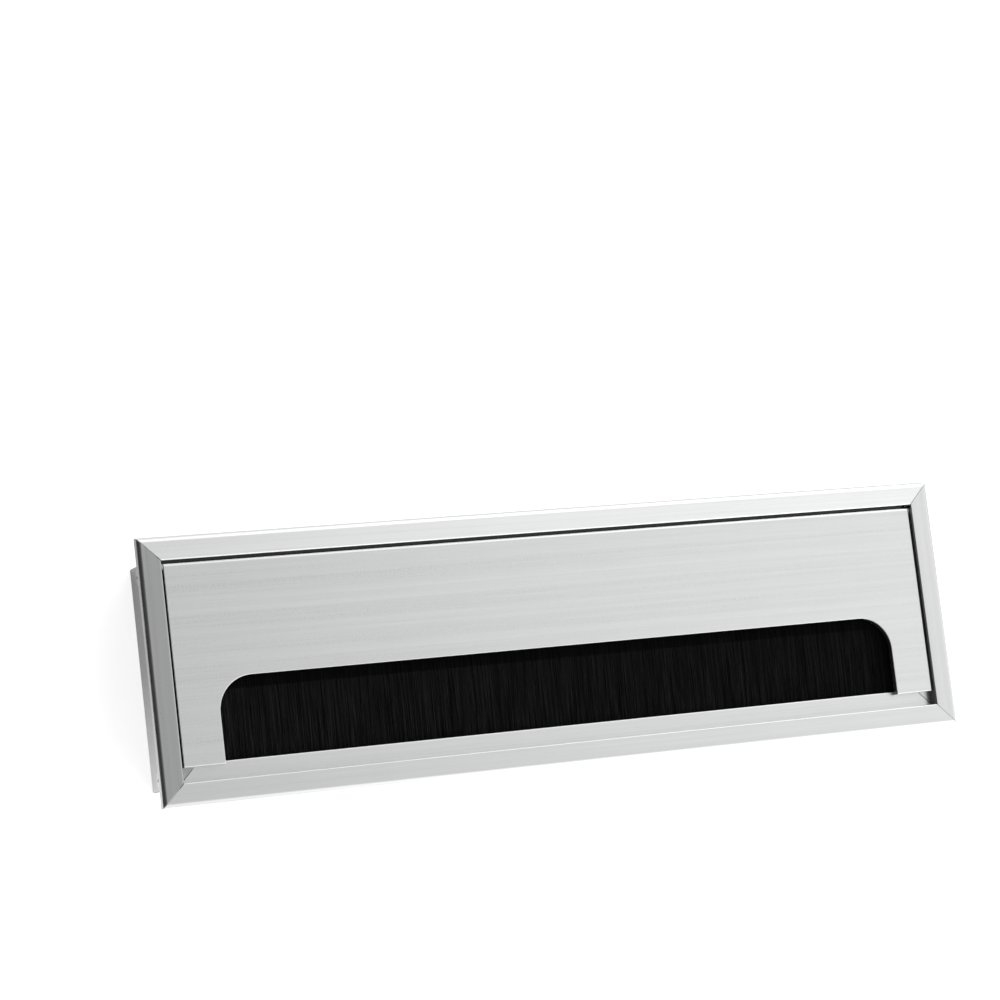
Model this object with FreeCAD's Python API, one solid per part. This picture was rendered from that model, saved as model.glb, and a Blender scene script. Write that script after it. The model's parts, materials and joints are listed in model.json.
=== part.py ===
"""Rectangular desk grommet: four mitred extrusions, a hinged lid and a strip brush across its notch.

Millimetres. X runs along the grommet, +Y points to the hinge side and +Z is up. The origin is the
centre of the desk's top surface in the cut-out, which is the underside of the flange.
"""
import FreeCAD, Part
import math
import os

Vector = FreeCAD.Vector

# --- Frame: one extruded section, cut to four lengths and mitred -----------------------------------
frame_length = 269.0         # over the flange, along X
frame_width = 80.0           # over the flange, along Y
flange_thick = 1.8
flange_overhang = 6.0        # from the flange's outer edge to the skirt
flange_side_high = 0.2       # straight part of the flange's side, below its rounded top edge
flange_inner_round = 0.45
skirt_thick = 1.2
skirt_depth = 28.2           # below the desk's top surface
ledge_drop = 3.2             # from the flange's top to the ledge's top
ledge_reach = 5.45
ledge_thick = 1.2
ledge_round = 0.45
mitre_gap = 0.1              # taken off each mitred face

# --- Screw ports and corner screws -----------------------------------------------------------------
port_outer_r = 2.5
port_bore_r = 1.25
port_slot = 1.2
port_from_skirt = 3.4        # port axis, in from the skirt's outer face
port_above_rim = 8.0         # port axis, above the skirt's lower rim
screw_clearance = 0.05       # between the shank and the port, and under the head
screw_length = 12.0
screw_head_r = 2.5
screw_hole_r = 1.5
recess_wide = 0.9
recess_long = 3.0
recess_deep = 1.3

# --- Corner keys, held between the ledge and a rib --------------------------------------------------
key_thick = 1.5
key_wide = 4.0
key_leg = 16.0
key_clearance = 0.1
rib_thick = 0.8
rib_reach = 1.2

# --- Lid ------------------------------------------------------------------------------------------
lid_thick = 2.3
lid_side_gap = 0.6
lid_rear_gap = 0.67
finger_gap = 4.3             # between the lid's front edge and the flange
lid_front_round = 0.5
lid_end_round = 0.3
notch_margin = 13.0          # from the lid's end to the notch
notch_depth = 25.6           # in from the lid's front edge
notch_corner_r = 10.5
notch_edge_round = 0.3

# --- Hinge ----------------------------------------------------------------------------------------
pin_r = 0.6
pin_in_lid = 8.0
pin_press = 0.01             # radial gap in the lid, where the pin is pressed
pin_running = 0.05           # radial gap in the skirt, where the pin turns
washer_r = 1.05
washer_thick = 0.35

# --- Brush and its holder --------------------------------------------------------------------------
channel_deep = 5.0           # along Y
channel_high = 4.0
channel_wall = 0.8
channel_round = 0.6
channel_clearance = 0.1
holder_wall = 1.0
holder_lip = 0.8             # thickness and height of the lips that keep the channel in
holder_behind_notch = 1.7
holder_end_gap = 2.35        # between the holder's end and the side ledge
channel_end_gap = 0.2
wire_r = 0.6
wire_clearance = 0.05
bristle_clearance = 0.05
bristle_drop = 0.9           # how far the tips hang below the channel's middle
bristle_half_tip = 1.2
bristle_tip_gap = 0.55       # between the tips and the front ledge

# --- Worked out from the values above ---------------------------------------------------------------
half_length = frame_length / 2
half_width = frame_width / 2
skirt_inner = flange_overhang + skirt_thick         # all measured in from the flange's outer edge
flange_outer_round = flange_thick - flange_side_high
ledge_edge = skirt_inner + ledge_reach
port_in = flange_overhang + port_from_skirt
key_outer = skirt_inner + key_clearance
section_reach = max(ledge_edge, port_in + port_outer_r) + 1.0

ledge_top = flange_thick - ledge_drop
ledge_bottom = ledge_top - ledge_thick
rim_z = -skirt_depth
port_z = rim_z + port_above_rim
key_top = ledge_bottom - key_clearance / 2
rib_top = ledge_bottom - key_thick - key_clearance

lid_half = half_length - skirt_inner - lid_side_gap
lid_rear = half_width - skirt_inner - lid_rear_gap
lid_front = -(half_width - skirt_inner - finger_gap)
lid_bottom = ledge_top                              # the lid lies flat on the ledge
lid_top = lid_bottom + lid_thick
notch_half = lid_half - notch_margin
notch_rear = lid_front + notch_depth

hinge_y = lid_rear - lid_thick / 2
hinge_z = lid_bottom + lid_thick / 2

holder_half = half_length - ledge_edge - holder_end_gap
holder_front = notch_rear + holder_behind_notch
channel_front = holder_front + holder_lip + channel_clearance / 2
channel_back = channel_front + channel_deep
channel_top = lid_bottom - channel_clearance
channel_bottom = channel_top - channel_high
channel_half = holder_half - channel_end_gap
channel_mid = (channel_top + channel_bottom) / 2
holder_floor = channel_bottom - channel_clearance
holder_inner_back = channel_back + channel_clearance
bristle_half = channel_high / 2 - channel_wall - bristle_clearance
bristle_back = channel_back - channel_wall - bristle_clearance
wire_y = bristle_back - bristle_half
bristle_tip = -(half_width - ledge_edge - bristle_tip_gap)

FAR = 200.0                  # longer than any piece is high, for cutting tools


def box(x, y, z):
    """A box from three (low, high) pairs."""
    corner = Vector(x[0], y[0], z[0])
    return Part.makeBox(x[1] - x[0], y[1] - y[0], z[1] - z[0], corner)


def rounded_outline(points):
    """A closed wire in the XY plane through (x, y, radius) corners, each rounded by its radius."""
    count = len(points)
    starts, middles, ends = [], [], []
    for i in range(count):
        here = Vector(points[i][0], points[i][1], 0)
        radius = points[i][2]
        to_last = Vector(points[i - 1][0], points[i - 1][1], 0) - here
        to_next = Vector(points[(i + 1) % count][0], points[(i + 1) % count][1], 0) - here
        to_last.normalize()
        to_next.normalize()
        half_angle = to_last.getAngle(to_next) / 2
        setback = radius / math.tan(half_angle)
        inward = to_last + to_next
        inward.normalize()
        starts.append(here + to_last * setback)
        ends.append(here + to_next * setback)
        middles.append(here + inward * (radius / math.sin(half_angle) - radius))
    edges = []
    for i in range(count):
        if points[i][2] > 0:
            edges.append(Part.Arc(starts[i], middles[i], ends[i]).toShape())
        following = starts[(i + 1) % count]
        if (following - ends[i]).Length > 1e-7:
            edges.append(Part.LineSegment(ends[i], following).toShape())
    return Part.Wire(edges)


def bar(points, half):
    """A bar along X with the given (y, z, radius) outline, from -half to +half."""
    face = Part.Face(rounded_outline(points))
    # Turn the drawing plane so that its x is the row's Y, and its y is the row's Z.
    turn = FreeCAD.Placement(Vector(-half, 0, 0), FreeCAD.Rotation(Vector(1, 1, 1), 120))
    face.Placement = turn
    return face.extrude(Vector(2 * half, 0, 0))


def rod(radius, x_low, x_high, y, z):
    """A round rod along X."""
    return Part.makeCylinder(radius, x_high - x_low, Vector(x_low, y, z), Vector(1, 0, 0))


# --- The frame's extrusion --------------------------------------------------------------------------
def section_points():
    """The section, as (distance in from the flange's outer edge, height, corner radius)."""
    return [
        (flange_overhang, 0, 0),
        (0, 0, 0),
        (0, flange_thick, flange_outer_round),
        (skirt_inner, flange_thick, flange_inner_round),
        (skirt_inner, ledge_top, 0),
        (ledge_edge, ledge_top, ledge_round),
        (ledge_edge, ledge_bottom, ledge_round),
        (skirt_inner, ledge_bottom, 0),
        (skirt_inner, rib_top, 0),
        (skirt_inner + rib_reach, rib_top, 0),
        (skirt_inner + rib_reach, rib_top - rib_thick, 0),
        (skirt_inner, rib_top - rib_thick, 0),
        (skirt_inner, rim_z, 0),
        (flange_overhang, rim_z, 0),
    ]


def extrusion(half):
    """A straight run of the frame's section, with its outer edge at y = 0."""
    run = bar(section_points(), half)
    run = run.fuse(rod(port_outer_r, -half, half, port_in, port_z))
    run = run.cut(rod(port_bore_r, -half, half, port_in, port_z))
    slot_z = (port_z - port_slot / 2, port_z + port_slot / 2)
    run = run.cut(box((-half, half), (port_in, port_in + port_outer_r + 1), slot_z))
    return run.removeSplitter()


def mitred(half):
    """A run of the section with both ends cut at 45 degrees."""
    outer = half - mitre_gap * math.sqrt(2)
    corners = [
        Vector(-outer, 0, -FAR),
        Vector(outer, 0, -FAR),
        Vector(outer - section_reach, section_reach, -FAR),
        Vector(-outer + section_reach, section_reach, -FAR),
        Vector(-outer, 0, -FAR),
    ]
    keep = Part.Face(Part.makePolygon(corners)).extrude(Vector(0, 0, 2 * FAR))
    return extrusion(half).common(keep)


def placed(run, angle, x, y):
    """The run turned about Z and moved to its side of the frame."""
    turned = run.copy()
    turned.rotate(Vector(0, 0, 0), Vector(0, 0, 1), angle)
    turned.translate(Vector(x, y, 0))
    return turned


def screw_y(side):
    return side * (half_width - port_in)


def skirt_x(end):
    """The outer face of the left or right skirt wall."""
    return end * (half_length - flange_overhang)


def along(end, x_from, x_to):
    """Two distances inward from a skirt wall, as a low and a high X."""
    a = skirt_x(end) - end * x_from
    b = skirt_x(end) - end * x_to
    return (min(a, b), max(a, b))


def countersunk(end, side, extra):
    """The screw's head, grown by extra, pointing inward from the skirt wall."""
    small = port_bore_r - screw_clearance
    depth = screw_head_r - small
    axis = Vector(-end, 0, 0)
    tip = Vector(skirt_x(end), screw_y(side), port_z)
    return Part.makeCone(screw_head_r + extra, small + extra, depth, tip, axis)


def end_profile(end):
    """The left or right side of the frame, with its screw holes and its hinge hole."""
    profile = placed(mitred(half_width), 90 * end, end * half_length, 0)
    for side in (-1, 1):
        hole_x = along(end, -1, section_reach)
        profile = profile.cut(rod(screw_hole_r, hole_x[0], hole_x[1], screw_y(side), port_z))
        profile = profile.cut(countersunk(end, side, screw_clearance))
    bearing_x = along(end, 0, skirt_thick + 1)
    return profile.cut(rod(pin_r + pin_running, bearing_x[0], bearing_x[1], hinge_y, hinge_z))


def corner_screw(end, side):
    """A countersunk cross-recess screw, driven through the end wall into a port."""
    shank_x = along(end, 0, screw_length)
    screw = rod(port_bore_r - screw_clearance, shank_x[0], shank_x[1], screw_y(side), port_z)
    screw = screw.fuse(countersunk(end, side, 0)).removeSplitter()
    recess_x = along(end, -1, recess_deep)
    y, z = screw_y(side), port_z
    for wide, high in ((recess_wide, recess_long), (recess_long, recess_wide)):
        arm = box(recess_x, (y - wide / 2, y + wide / 2), (z - high / 2, z + high / 2))
        screw = screw.cut(arm)
    return screw


def corner_key(end, side):
    """A flat L that lies in the groove under the ledge, across the mitre."""
    x_wall = half_length - key_outer
    y_wall = half_width - key_outer
    long_leg = [
        (end * (x_wall - key_leg), side * (y_wall - key_wide)),
        (end * (x_wall - key_leg), side * y_wall),
        (end * x_wall, side * y_wall),
        (end * x_wall, side * (y_wall - key_leg)),
        (end * (x_wall - key_wide), side * (y_wall - key_leg)),
        (end * (x_wall - key_wide), side * (y_wall - key_wide)),
    ]
    corners = [Vector(x, y, key_top - key_thick) for x, y in long_leg + long_leg[:1]]
    return Part.Face(Part.makePolygon(corners)).extrude(Vector(0, 0, key_thick))


# --- The lid ----------------------------------------------------------------------------------------
def lid_plate():
    """The lid: a plate with a round rear edge, a notch and a holder for the brush underneath."""
    full_round = lid_thick / 2 - 0.001
    plate = bar([
        (lid_front, lid_bottom, lid_end_round),
        (lid_rear, lid_bottom, full_round),
        (lid_rear, lid_top, full_round),
        (lid_front, lid_top, lid_front_round),
    ], lid_half)
    end_edges = [e for e in plate.Edges
                 if abs(abs(e.CenterOfMass.x) - lid_half) < 1e-4
                 and abs(e.CenterOfMass.z - lid_top) < 1e-4]
    plate = plate.makeFillet(lid_end_round, end_edges)
    notch = Part.Face(rounded_outline([
        (-notch_half, lid_front - FAR, 0),
        (notch_half, lid_front - FAR, 0),
        (notch_half, notch_rear, notch_corner_r),
        (-notch_half, notch_rear, notch_corner_r),
    ]))
    notch.translate(Vector(0, 0, -FAR))
    plate = plate.cut(notch.extrude(Vector(0, 0, 2 * FAR)))
    plate = plate.makeFillet(notch_edge_round, notch_edges(plate))
    plate = plate.fuse(holder()).removeSplitter()
    for end in (-1, 1):
        hole_x = (end * (lid_half - pin_in_lid), end * (lid_half + 1))
        plate = plate.cut(rod(pin_r + pin_press, min(hole_x), max(hole_x), hinge_y, hinge_z))
    return plate


def notch_edges(plate):
    """The top edges of the notch's walls."""
    found = []
    for edge in plate.Edges:
        middle = edge.CenterOfMass
        on_top = abs(middle.z - lid_top) < 1e-4
        inside = abs(middle.x) < notch_half + 1e-4 and middle.y < notch_rear + 1e-4
        if on_top and inside and middle.y > lid_front + lid_front_round:
            found.append(edge)
    return found


def holder():
    """The hooked rail under the lid that the brush's channel slides into."""
    top = lid_bottom + holder_wall / 2
    lip_back = holder_front + holder_lip
    upper_lip = channel_top - channel_wall + channel_clearance
    lower_lip = channel_bottom + channel_wall - channel_clearance
    floor = holder_floor - holder_wall
    back = holder_inner_back + holder_wall
    rail = bar([
        (holder_front, top, 0),
        (back, top, 0),
        (back, floor, 0),
        (holder_front, floor, 0),
    ], holder_half)
    room = box((-FAR, FAR), (lip_back, holder_inner_back), (holder_floor, lid_bottom))
    mouth = box((-FAR, FAR), (holder_front - 1, lip_back), (lower_lip, upper_lip))
    return rail.cut(room).cut(mouth)


# --- The hinge --------------------------------------------------------------------------------------
def hinge_pin(end):
    """A pin from the lid's end, through the gap, into the skirt wall."""
    inner = end * (lid_half - pin_in_lid)
    outer = skirt_x(end)
    return rod(pin_r, min(inner, outer), max(inner, outer), hinge_y, hinge_z)


def hinge_washer(end):
    """A thin washer on the pin, against the lid's end."""
    near = end * lid_half
    far = end * (lid_half + washer_thick)
    washer = rod(washer_r, min(near, far), max(near, far), hinge_y, hinge_z)
    return washer.cut(rod(pin_r + pin_press, min(near, far), max(near, far), hinge_y, hinge_z))


# --- The brush --------------------------------------------------------------------------------------
def brush_channel():
    """A folded U of sheet steel, open to the front."""
    outside = bar([
        (channel_front, channel_bottom, 0),
        (channel_back, channel_bottom, channel_round),
        (channel_back, channel_top, channel_round),
        (channel_front, channel_top, 0),
    ], channel_half)
    inside = box(
        (-FAR, FAR),
        (channel_front - 1, channel_back - channel_wall),
        (channel_bottom + channel_wall, channel_top - channel_wall),
    )
    return outside.cut(inside)


def brush_bristles():
    """The filaments as one pack: folded round the wire in the channel, hanging a little at the tips."""
    tip_mid = channel_mid - bristle_drop
    pack = bar([
        (bristle_tip, tip_mid - bristle_half_tip, 0),
        (channel_front, channel_mid - bristle_half, 0),
        (bristle_back, channel_mid - bristle_half, 0),
        (bristle_back, channel_mid + bristle_half, 0),
        (channel_front, channel_mid + bristle_half, 0),
        (bristle_tip, tip_mid + bristle_half_tip, 0),
    ], channel_half)
    core = rod(wire_r + wire_clearance, -channel_half, channel_half, wire_y, channel_mid)
    return pack.cut(core)


def build():
    """Every piece, by its node's name."""
    long_run = mitred(half_length)
    pieces = {
        "front_profile": placed(long_run, 0, 0, -half_width),
        "rear_profile": placed(long_run, 180, 0, half_width),
        "left_profile": end_profile(-1),
        "right_profile": end_profile(1),
        "lid_plate": lid_plate(),
        "brush_channel": brush_channel(),
        "brush_core_wire": rod(wire_r, -channel_half, channel_half, wire_y, channel_mid),
        "brush_bristles": brush_bristles(),
    }
    for end, end_name in ((-1, "left"), (1, "right")):
        pieces["hinge_pin_" + end_name] = hinge_pin(end)
        pieces["hinge_washer_" + end_name] = hinge_washer(end)
        for side, side_name in ((-1, "front"), (1, "rear")):
            corner = side_name + "_" + end_name
            pieces["corner_screw_" + corner] = corner_screw(end, side)
            pieces["corner_key_" + corner] = corner_key(end, side)
    return pieces


os.makedirs("parts", exist_ok=True)
for name, shape in build().items():
    solids = shape.Solids
    if len(solids) != 1 or not shape.isValid():
        raise RuntimeError(f"{name}: {len(solids)} solids, valid {shape.isValid()}")
    solids[0].exportStep(f"parts/{name}.step")
    extent = shape.BoundBox
    print(f"{name}: {shape.Volume:.1f} mm3, "
          f"{extent.XLength:.2f} x {extent.YLength:.2f} x {extent.ZLength:.2f}")
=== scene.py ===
# %% [markdown]
# # A desk grommet in brushed aluminium
#
# A desk grommet lines a cut-out in a desk top, so that cables can pass through it tidily. This one is a long
# frame of four mitred extrusions with a hinged lid. A wide notch in the lid is closed by a black strip brush,
# which lets cables through and keeps dust and dropped pens out.
#
# The construction comes from a CAD model that is already true to size. This lesson adds what CAD leaves out:
# the bristles, the finishes, the light and the camera. All lengths are in metres, +Z is up, and the desk's top
# surface would be the plane z = 0.

# %% Load the CAD model
import json
import math
import random

import bpy
import numpy as np
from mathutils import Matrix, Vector


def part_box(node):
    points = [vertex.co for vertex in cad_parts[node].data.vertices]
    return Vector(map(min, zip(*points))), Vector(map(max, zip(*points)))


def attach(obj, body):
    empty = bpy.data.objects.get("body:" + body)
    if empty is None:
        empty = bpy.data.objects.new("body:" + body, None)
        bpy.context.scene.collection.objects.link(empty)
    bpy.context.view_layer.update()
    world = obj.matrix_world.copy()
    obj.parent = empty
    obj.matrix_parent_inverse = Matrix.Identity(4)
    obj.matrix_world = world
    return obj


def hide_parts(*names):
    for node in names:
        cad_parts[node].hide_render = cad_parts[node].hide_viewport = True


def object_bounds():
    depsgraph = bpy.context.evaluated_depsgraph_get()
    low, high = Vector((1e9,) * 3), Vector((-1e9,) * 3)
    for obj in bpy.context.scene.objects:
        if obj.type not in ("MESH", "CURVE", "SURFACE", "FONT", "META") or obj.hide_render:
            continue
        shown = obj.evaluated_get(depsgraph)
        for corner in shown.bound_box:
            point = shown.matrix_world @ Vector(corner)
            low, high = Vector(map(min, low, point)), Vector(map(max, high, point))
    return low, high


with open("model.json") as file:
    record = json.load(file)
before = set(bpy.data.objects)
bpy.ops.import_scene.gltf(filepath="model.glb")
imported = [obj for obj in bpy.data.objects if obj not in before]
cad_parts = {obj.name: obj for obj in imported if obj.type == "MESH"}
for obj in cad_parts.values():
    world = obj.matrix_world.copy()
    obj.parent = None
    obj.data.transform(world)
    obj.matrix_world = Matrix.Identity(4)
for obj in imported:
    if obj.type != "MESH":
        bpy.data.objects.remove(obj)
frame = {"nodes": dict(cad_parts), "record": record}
cad_low, cad_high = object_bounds()
nodes = frame["nodes"]
MM = 0.001
print("CAD pieces:", len(nodes), "size in mm:", [round(v / MM, 2) for v in cad_high - cad_low])

# %% [markdown]
# ## The camera
#
# The view is from high above the left end, with a long lens, so that the long sides draw together only a
# little. A long lens far away keeps proportions close to a measured drawing. The camera is set by its place
# and its turn, and its lens is given in millimetres for a sensor 36 mm wide.

# %% Camera
camera_data = bpy.data.cameras.new("camera")
camera = bpy.data.objects.new("camera", camera_data)
bpy.context.scene.collection.objects.link(camera)
camera.location = (-0.37399, -0.05904, 0.83886)
camera.rotation_euler = [math.radians(angle) for angle in (9.2165, -22.1525, -7.2089)]
camera_data.sensor_width = 36.0
camera_data.lens = 106.74
camera_data.clip_start = 0.01
camera_data.clip_end = 20.0
bpy.context.scene.camera = camera
print("camera stands", round(camera.location.length, 3), "m from the middle of the cut-out")

# %% [markdown]
# ## Writing shader maths as Python
#
# A finish is a small calculation that runs at every point of a surface. Node trees draw that calculation as
# boxes and wires, which gets long. Here a `Wire` stands for one socket's value, and Python's own operators add
# the Math nodes, so `1 - mask * 0.3` can be written as it reads. Any other kind of node comes from one method,
# `Finish.node`.

# %% Wire and Finish
class Wire:
    """One output socket that can be used in sums."""

    def __init__(self, finish, socket):
        self.finish = finish
        self.socket = socket

    def _with(self, operation, first, second):
        return self.finish.node("ShaderNodeMath", {"operation": operation}, {0: first, 1: second})

    def __add__(self, other):
        return self._with("ADD", self, other)

    def __radd__(self, other):
        return self._with("ADD", other, self)

    def __sub__(self, other):
        return self._with("SUBTRACT", self, other)

    def __rsub__(self, other):
        return self._with("SUBTRACT", other, self)

    def __mul__(self, other):
        return self._with("MULTIPLY", self, other)

    def __rmul__(self, other):
        return self._with("MULTIPLY", other, self)

    def __truediv__(self, other):
        return self._with("DIVIDE", self, other)

    def __pow__(self, other):
        return self._with("POWER", self, other)


class Finish:
    """A material or world whose nodes are added by short calls."""

    def __init__(self, name, owner=None):
        self.owner = owner or bpy.data.materials.new(name)
        self.owner.use_nodes = True
        self.tree = self.owner.node_tree
        self.tree.nodes.clear()

    def node(self, kind, settings=None, sockets=None, out=0):
        """Adds a node, sets it up, fills its sockets with values or wires and returns one output, if any."""
        made = self.tree.nodes.new(kind)
        for key, value in (settings or {}).items():
            if key == "stops":
                ramp = made.color_ramp
                while len(ramp.elements) < len(value):
                    ramp.elements.new(0.5)
                for element, (place, level) in zip(ramp.elements, value):
                    element.position = place
                    element.color = (level, level, level, 1)
            else:
                setattr(made, key, value)
        for key, value in (sockets or {}).items():
            if isinstance(value, Wire):
                self.tree.links.new(value.socket, made.inputs[key])
            else:
                made.inputs[key].default_value = value
        return Wire(self, made.outputs[out]) if len(made.outputs) else None

    def place(self):
        """Where a point is on the object, in metres."""
        return self.node("ShaderNodeTexCoord", out="Object")

    def stretched(self, size, detail=2.0, roughness=0.5):
        """Noise whose blobs are size metres long along X, Y and Z, from 0 to 1."""
        scale = [1 / s for s in size]
        spot = self.node("ShaderNodeMapping", {}, {"Vector": self.place(), "Scale": scale})
        settings = {"noise_dimensions": "3D"}
        sockets = {"Vector": spot, "Scale": 1.0, "Detail": detail, "Roughness": roughness}
        return self.node("ShaderNodeTexNoise", settings, sockets, out="Fac")

    def ramp(self, wire, stops):
        """Maps 0 to 1 through (place, level) stops."""
        return self.node("ShaderNodeValToRGB", {"stops": stops}, {0: wire}, out=0)

    def between(self, wire, low, high):
        """1 where the wire lies between two values, else 0."""
        above = self.node("ShaderNodeMath", {"operation": "GREATER_THAN"}, {0: wire, 1: low})
        below = self.node("ShaderNodeMath", {"operation": "LESS_THAN"}, {0: wire, 1: high})
        return above * below

    def grey(self, level, tint=(1.0, 1.0, 1.0)):
        """A colour from a brightness wire and a fixed tint."""
        parts = {i: level * tint[i] for i in range(3)}
        return self.node("ShaderNodeCombineColor", {}, parts)

    def bump(self, height, distance, strength=1.0):
        """A normal from a height wire that runs from 0 to 1 over distance metres."""
        sockets = {"Height": height, "Distance": distance, "Strength": strength}
        return self.node("ShaderNodeBump", {}, sockets)

    def surface(self, **sockets):
        """A Principled shader on the material's output. Underscores in names stand for spaces."""
        named = {key.replace("_", " "): value for key, value in sockets.items()}
        shader = self.node("ShaderNodeBsdfPrincipled", {}, named)
        self.node("ShaderNodeOutputMaterial", {}, {"Surface": shader})
        return self.owner


print("shader helpers ready")

# %% [markdown]
# ## Brushed, anodised aluminium
#
# An extrusion comes out of its die with faint lines along its length. Brushing adds finer ones the same way,
# and anodising leaves a satin skin over them with a slightly sandy grain. Each groove spreads light across its
# own direction, so two pieces of the same metal look different when they lie crosswise, as at a mitre.
#
# Stretched noise gives all of it: blobs that are hundreds of millimetres long and a fraction of a millimetre
# wide are streaks. One function makes the finish for either direction.
#
# The narrow gaps round the lid come out too light, because satin metal keeps bouncing light out of them. So the
# finish paints a shade inside each gap, which it finds by its place. The metal itself has no such mark.

# %% Aluminium
_, LID_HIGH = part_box("lid_plate")
SEAM_X = LID_HIGH.x - 0.05 * MM         # where the seams beside the lid's ends start, out from the middle
WALL_X = LID_HIGH.x + 0.62 * MM         # just past the flange's wall, which ends them
SEAM_Y = LID_HIGH.y - 0.25 * MM         # where the seam behind the lid starts, on the lid's round edge
SEAM_WIDE = 0.92 * MM
WALL_Y = LID_HIGH.y + 0.69 * MM
SEAM_LOW, SEAM_TOP = -1.5 * MM, 1.2 * MM
REAR_PAINTED_SHADE, LEFT_PAINTED_SHADE, RIGHT_PAINTED_SHADE = 0.95, 0.9, 0.3       # share of the tone that each seam loses


def aluminium(name, along, tone=0.80):
    """Satin anodised metal with streaks along axis 0 (X) or 1 (Y), and painted shade in the seams round the
    lid.
    """
    finish = Finish(name)
    spot = {axis: finish.node("ShaderNodeSeparateXYZ", {}, {0: finish.place()}, out=axis) for axis in "XYZ"}
    # Painted shade: the tone is darkened inside the gaps behind and beside the lid, which are found by their
    # place.
    deep = finish.between(spot["Z"], SEAM_LOW, SEAM_TOP)
    behind_lid = finish.between(spot["Y"], SEAM_Y, SEAM_Y + SEAM_WIDE) * deep
    beside_lid = finish.between(spot["Y"], -WALL_Y, WALL_Y) * deep
    seam_rear = behind_lid * finish.between(spot["X"], -WALL_X, WALL_X)
    seam_left = beside_lid * finish.between(spot["X"], -WALL_X, -SEAM_X)
    seam_right = beside_lid * finish.between(spot["X"], SEAM_X, WALL_X)
    painted_gap_shade = (1 - seam_rear * REAR_PAINTED_SHADE) * (1 - seam_left * LEFT_PAINTED_SHADE) * (1 - seam_right * RIGHT_PAINTED_SHADE)

    def streak(length, width):
        size = [width, width, width]
        size[along] = length
        return size

    hairline = finish.stretched(streak(24 * MM, 0.11 * MM), detail=1.0)
    scratch = finish.stretched(streak(70 * MM, 0.32 * MM), detail=2.0, roughness=0.6)
    band = finish.stretched(streak(260 * MM, 1.7 * MM), detail=3.0, roughness=0.65)
    grain = finish.stretched([0.2 * MM] * 3, detail=1.0)
    cloud = finish.stretched([14 * MM] * 3, detail=2.0)
    dark_line = finish.ramp(scratch, [(0.0, 1.0), (0.34, 0.0), (1.0, 0.0)])
    tone_here = tone * (1 + (hairline - 0.5) * 0.10 + (band - 0.5) * 0.22 + (grain - 0.5) * 0.14
                        + (cloud - 0.5) * 0.03 - dark_line * 0.13) * painted_gap_shade
    rough_here = 0.30 + (band - 0.5) * 0.10 + (grain - 0.5) * 0.10 + dark_line * 0.05
    height = hairline * 0.5 + scratch * 0.3 + grain * 0.35
    return finish.surface(
        Base_Color=finish.grey(tone_here, (0.992, 0.998, 1.0)),
        Metallic=1.0,
        Roughness=rough_here,
        Normal=finish.bump(height, 0.012 * MM, 0.6),
    )


brushed_long = aluminium("aluminium_brushed_lengthwise", 0)
# Painted light and shade: the left finish is toned down and the rear one toned up, though all four pieces are
# the same metal.
brushed_left_painted_shade = aluminium("aluminium_crosswise_painted_shade", 1, 0.50)
brushed_right = aluminium("aluminium_brushed_crosswise", 1, 0.78)
brushed_rear = aluminium("aluminium_rear_painted_light", 0, 0.98)
print("finishes:", brushed_long.name, brushed_left_painted_shade.name, brushed_right.name)

# %% [markdown]
# ## Steel and nylon
#
# The screws, pins and corner keys are zinc plated: brighter and smoother than the aluminium, with a fine
# grain. The brush's channel and wire are galvanised, which shows as soft grey spangles. The washers are milky
# nylon. The filaments are black nylon: each one is nearly black, with a narrow sheen along it.

# %% Plated steel, galvanised steel and nylon
def plated_steel():
    finish = Finish("steel_zinc_plated")
    grain = finish.stretched([0.15 * MM] * 3, detail=2.0)
    patch = finish.stretched([1.2 * MM] * 3, detail=2.0)
    return finish.surface(
        Base_Color=finish.grey(0.66 + (patch - 0.5) * 0.12, (1.0, 1.0, 0.985)),
        Metallic=1.0,
        Roughness=0.24 + (grain - 0.5) * 0.14,
        Normal=finish.bump(grain, 0.01 * MM, 0.4),
    )


def galvanised_steel():
    finish = Finish("steel_galvanised")
    place = finish.place()
    sockets = {"Vector": place, "Scale": 1 / (2.2 * MM), "Randomness": 1.0}
    spangle = finish.node("ShaderNodeTexVoronoi", {"feature": "F1"}, sockets, out="Color")
    spread = finish.node("ShaderNodeSeparateColor", {}, {0: spangle})
    grain = finish.stretched([0.3 * MM] * 3, detail=2.0)
    return finish.surface(
        Base_Color=finish.grey(0.50 + (spread - 0.5) * 0.10 + (grain - 0.5) * 0.05, (0.98, 0.995, 1.0)),
        Metallic=1.0,
        Roughness=0.42 + (spread - 0.5) * 0.14,
        Normal=finish.bump(grain, 0.01 * MM, 0.4),
    )


def nylon(name, tone, tint, roughness, vary):
    finish = Finish(name)
    grain = finish.stretched([0.4 * MM] * 3, detail=2.0)
    return finish.surface(
        Base_Color=finish.grey(tone * (1 - vary / 2) + grain * (tone * vary), tint),
        Roughness=roughness + (grain - 0.5) * 0.1,
        Normal=finish.bump(grain, 0.01 * MM, 0.3),
    )


zinc = plated_steel()
spangled = galvanised_steel()
milky_nylon = nylon("nylon_natural", 0.72, (1.0, 0.985, 0.94), 0.45, 0.1)
print("finishes:", zinc.name, spangled.name, milky_nylon.name)

# %% [markdown]
# ## Putting the finishes on the CAD pieces
#
# The CAD pieces keep their shapes. The record already names what each one is made of, so the finish is looked
# up from there. Three extrusions get a finish of their own. The two short ones have the crosswise grain. The
# left one is also toned down and the rear one toned up: all four are the same metal, and the tones stand in for
# differences of light that these few lights don't make by themselves.

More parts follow.
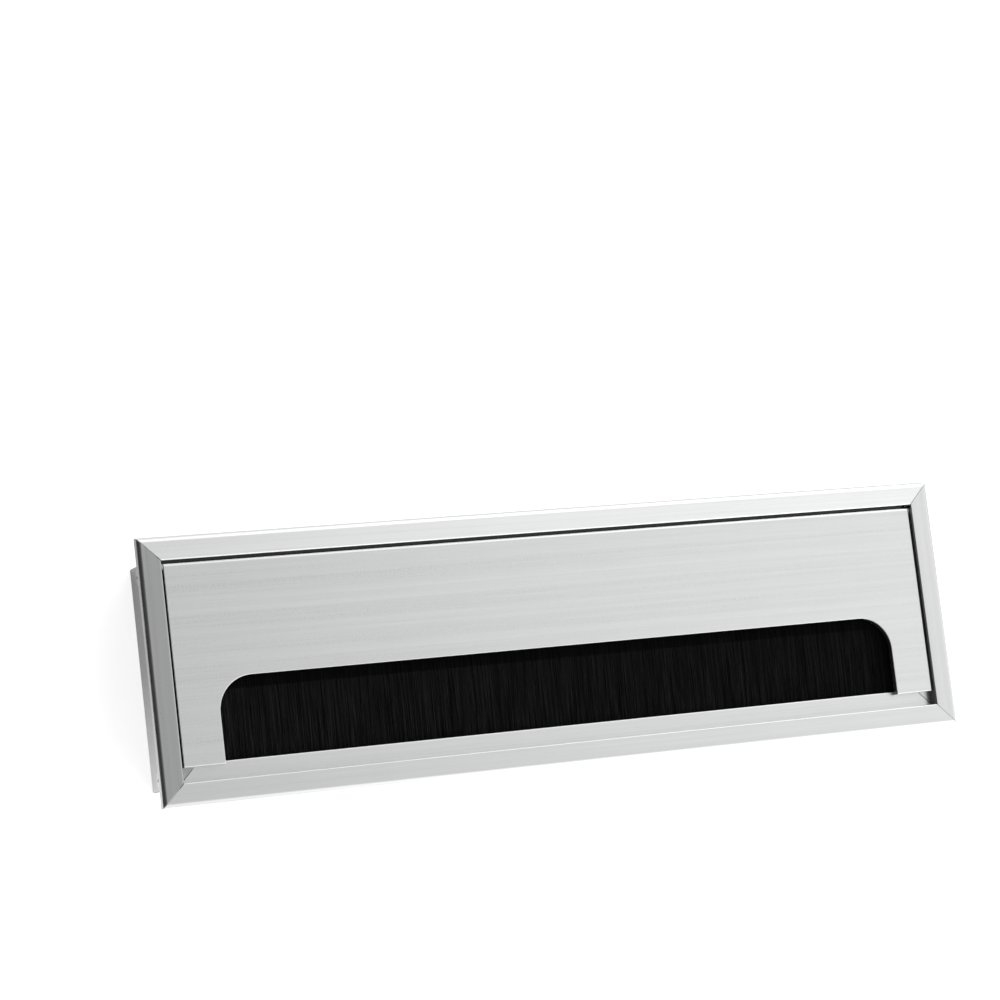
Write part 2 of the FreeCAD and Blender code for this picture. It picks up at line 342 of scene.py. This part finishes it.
# %% Finishes on the CAD pieces
by_slot = {
    "frame_aluminium": brushed_long,
    "lid_aluminium": brushed_long,
    "plated_steel": zinc,
    "galvanised_steel": spangled,
    "natural_nylon": milky_nylon,
}
own_finish = {"left_profile": brushed_left_painted_shade, "right_profile": brushed_right, "rear_profile": brushed_rear}
for part in frame["record"]["subparts"]:
    name, slot = part["node"], part["material_slot"]
    if slot in by_slot:
        nodes[name].material_slots[0].material = own_finish.get(name, by_slot[slot])

# %% [markdown]
# ## The bristles
#
# A strip brush holds thousands of nylon filaments, folded over a wire and pinched in a channel. They leave its
# mouth in a flat sheet, cross a little, droop a little, and their tips slip under the frame's front ledge.
#
# One filament is modelled: a four-sided tube, extruded in four steps. A loop then sets out its copies
# with small random changes. Hair particles would look the same, but couldn't be exported as a mesh. The
# bundle is laid out in layers, so that no light comes through from below.

# %% One filament
STEPS = 4
FILAMENT_R = 0.11 * MM


def model_filament():
    """A unit filament: along +Y from 0 to 1, with its four-sided section in XZ."""
    bpy.ops.object.select_all(action="DESELECT")
    bpy.ops.mesh.primitive_circle_add(vertices=4, radius=FILAMENT_R, fill_type="NGON",
                                      location=(0, 0, 0), rotation=(math.radians(90), 0, 0))
    filament = bpy.context.object
    filament.name = "filament"
    bpy.ops.object.transform_apply(location=True, rotation=True, scale=True)
    bpy.ops.object.mode_set(mode="EDIT")
    bpy.ops.mesh.select_all(action="SELECT")
    for _ in range(STEPS):
        bpy.ops.mesh.extrude_region_move(TRANSFORM_OT_translate={"value": (0, 1 / STEPS, 0)})
    bpy.ops.mesh.select_all(action="SELECT")
    bpy.ops.mesh.normals_make_consistent(inside=False)
    bpy.ops.mesh.quads_convert_to_tris()
    bpy.ops.object.mode_set(mode="OBJECT")
    return filament


filament = model_filament()
template = np.array([tuple(v.co) for v in filament.data.vertices])
triangles = np.array([tuple(p.vertices) for p in filament.data.polygons])
bpy.data.objects.remove(filament)
print("one filament:", len(template), "points,", len(triangles), "triangles")

# %% Setting out the filaments
channel_low, channel_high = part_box("brush_channel")
pack_low, pack_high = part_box("brush_bristles")
ROOT_Y = channel_low.y + 1.2 * MM
TIP_Y = pack_low.y - 1.5 * MM
MIDDLE_Z = (channel_low.z + channel_high.z) / 2
HALF_ROOT = 1.0 * MM
DROOP = 1.15 * MM
HALF_TIP = 1.05 * MM
PITCH = 0.20 * MM
LAYERS = 10
BUNDLES = 4


def bundle(name, x_from, x_to, seed):
    """The filaments between two places along the brush, as one mesh."""
    draw = random.Random(seed)
    points, faces = [], []
    along = template[:, 1]
    for layer in range(LAYERS):
        level = layer / (LAYERS - 1) * 2 - 1
        for i in range(round((x_to - x_from) / PITCH)):
            x = x_from + (i + draw.random()) * PITCH
            root_z = MIDDLE_Z + level * HALF_ROOT + draw.uniform(-0.1, 0.1) * MM
            tip_z = MIDDLE_Z - DROOP + level * HALF_TIP + draw.uniform(-0.15, 0.15) * MM
            lean = draw.gauss(0, 0.55) * MM
            bow = draw.gauss(0, 0.18) * MM
            tip_y = TIP_Y + abs(draw.gauss(0, 0.35)) * MM
            made = np.empty_like(template)
            made[:, 0] = x + template[:, 0] + lean * along + bow * np.sin(math.pi * along)
            made[:, 1] = ROOT_Y + (tip_y - ROOT_Y) * along
            made[:, 2] = root_z + template[:, 2] + (tip_z - root_z) * along ** 1.6
            faces.append(triangles[:, ::-1] + len(points) * len(template))
            points.append(made)
    mesh = bpy.data.meshes.new(name)
    mesh.from_pydata(np.concatenate(points).tolist(), [], np.concatenate(faces).tolist())
    made = bpy.data.objects.new(name, mesh)
    bpy.context.scene.collection.objects.link(made)
    return made


def black_nylon():
    """Each filament takes its own shade, because the noise is long and thin."""
    finish = Finish("nylon_black")
    strand = finish.stretched([0.30 * MM, 40 * MM, 0.9 * MM], detail=1.0)
    lock = finish.stretched([3.5 * MM, 60 * MM, 3 * MM], detail=2.0)
    shade = finish.ramp(strand, [(0.0, 0.0), (0.42, 0.08), (0.62, 0.55), (1.0, 1.0)])
    return finish.surface(
        Base_Color=finish.grey(0.002 + shade * 0.034 + lock * 0.003),
        Roughness=0.55 + strand * 0.2,
        Specular_IOR_Level=0.2,
    )


black = black_nylon()
brush_from, brush_to = pack_low.x + FILAMENT_R + 0.8 * MM, pack_high.x - FILAMENT_R - 0.8 * MM
bristles = []
for index in range(BUNDLES):
    share = (brush_to - brush_from) / BUNDLES
    start = brush_from + index * share
    piece = bundle(f"bristles_{index + 1}", start, start + share, 40 + index)
    piece.data.materials.append(black)
    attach(piece, "lid")
    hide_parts("brush_bristles")
    bristles.append(piece)
print("filaments:", sum(len(b.data.polygons) for b in bristles) // len(triangles),
      "triangles:", sum(len(b.data.polygons) for b in bristles))

# %% [markdown]
# ## Floor and light
#
# The grommet stands on its skirt on a plain white floor. Satin metal shows mostly what is around it, so the
# light matters as much as the finish. The studio is bright on the right and falls off to the left, as with
# one large softbox: the top faces grade from grey to light, and the edges that face left stay dark. Two bright
# wings, low at the front and the back, draw the thin highlights along the rounded edges.

# %% Floor
FLOOR_SIZE = 8.0
bpy.ops.object.select_all(action="DESELECT")
bpy.ops.mesh.primitive_plane_add(size=FLOOR_SIZE, location=(0, 0, cad_low.z))
floor = bpy.context.object
floor.name = "floor"


def floor_paper():
    """Paper that looks white to the camera and keeps a shadow, with a painted glow in reflections, brighter at
    the front.
    """
    finish = Finish("floor_paper")
    rays = finish.tree.nodes.new("ShaderNodeLightPath").outputs
    seen = Wire(finish, rays["Is Camera Ray"])
    paper = finish.node("ShaderNodeBsdfDiffuse", {}, {"Color": (0.9, 0.9, 0.9, 1)})
    glow = finish.node("ShaderNodeEmission", {}, {"Color": (1, 1, 1, 1), "Strength": seen * 0.8})
    # Painted reflection: for glossy rays the floor glows, brighter towards the front, so the metal reflects a
    # graded light that no lamp gives.
    place_y = finish.node("ShaderNodeSeparateXYZ", {}, {0: finish.place()}, out="Y")
    painted_reflection_falloff = finish.ramp(0.5 - place_y * 7.0, [(0.0, 0.10), (0.5, 0.42), (0.8, 1.0)])
    in_metal = Wire(finish, rays["Is Glossy Ray"])
    painted_reflection = finish.node("ShaderNodeEmission", {}, {"Color": painted_reflection_falloff, "Strength": in_metal})
    both = finish.node("ShaderNodeAddShader", {}, {0: paper, 1: glow})
    both = finish.node("ShaderNodeAddShader", {}, {0: both, 1: painted_reflection})
    finish.node("ShaderNodeOutputMaterial", {}, {"Surface": both})
    return finish.owner


floor.data.materials.append(floor_paper())
print("floor at z =", round(cad_low.z / MM, 2), "mm")

# %% Studio light
world = bpy.data.worlds.new("studio")
bpy.context.scene.world = world


def studio():
    """Surroundings that grade from dim at the left to bright at the right, and look white to the camera."""
    finish = Finish("studio", world)
    direction = finish.node("ShaderNodeTexCoord", out="Generated")
    split = finish.node("ShaderNodeSeparateXYZ", {}, {0: direction}, out="X")
    level = finish.ramp(split * 0.5 + 0.5, [
        (0.0, 0.03), (0.35, 0.06), (0.52, 0.22), (0.63, 0.60), (0.70, 0.84), (0.80, 1.0),
    ])
    sideways = finish.node("ShaderNodeSeparateXYZ", {}, {0: direction}, out="Y")
    sideways = finish.node("ShaderNodeMath", {"operation": "ABSOLUTE"}, {0: sideways})
    wings = finish.ramp(sideways, [(0.0, 0.0), (0.18, 0.0), (0.5, 0.7), (0.75, 0.8), (1.0, 0.3)])
    rays = finish.tree.nodes.new("ShaderNodeLightPath").outputs
    seen = Wire(finish, rays["Is Camera Ray"])
    strength = (level + wings * (0.12 + level)) * (1 - seen) + seen
    light = finish.node("ShaderNodeBackground", {}, {"Color": (1, 1, 1, 1), "Strength": strength})
    finish.node("ShaderNodeOutputWorld", {}, {"Surface": light})


studio()


def softbox(name, place, aim, size, power):
    """A square area lamp that points at a spot."""
    data = bpy.data.lights.new(name, "AREA")
    data.size = size
    data.energy = power
    lamp = bpy.data.objects.new(name, data)
    bpy.context.scene.collection.objects.link(lamp)
    lamp.location = place
    lamp.rotation_euler = (Vector(aim) - Vector(place)).to_track_quat("-Z", "Y").to_euler()
    return lamp


lamp = softbox("softbox_right", (1.0, 0.25, 1.1), (0, 0, 0), 0.9, 2.5)
lamp.visible_glossy = False
bpy.context.scene.view_settings.view_transform = "Standard"

# %% [markdown]
# ## The end
#
# The scene is brought up to date. The pieces that were added have to stay inside the CAD model's box.

# %% Finish
bpy.context.view_layer.update()
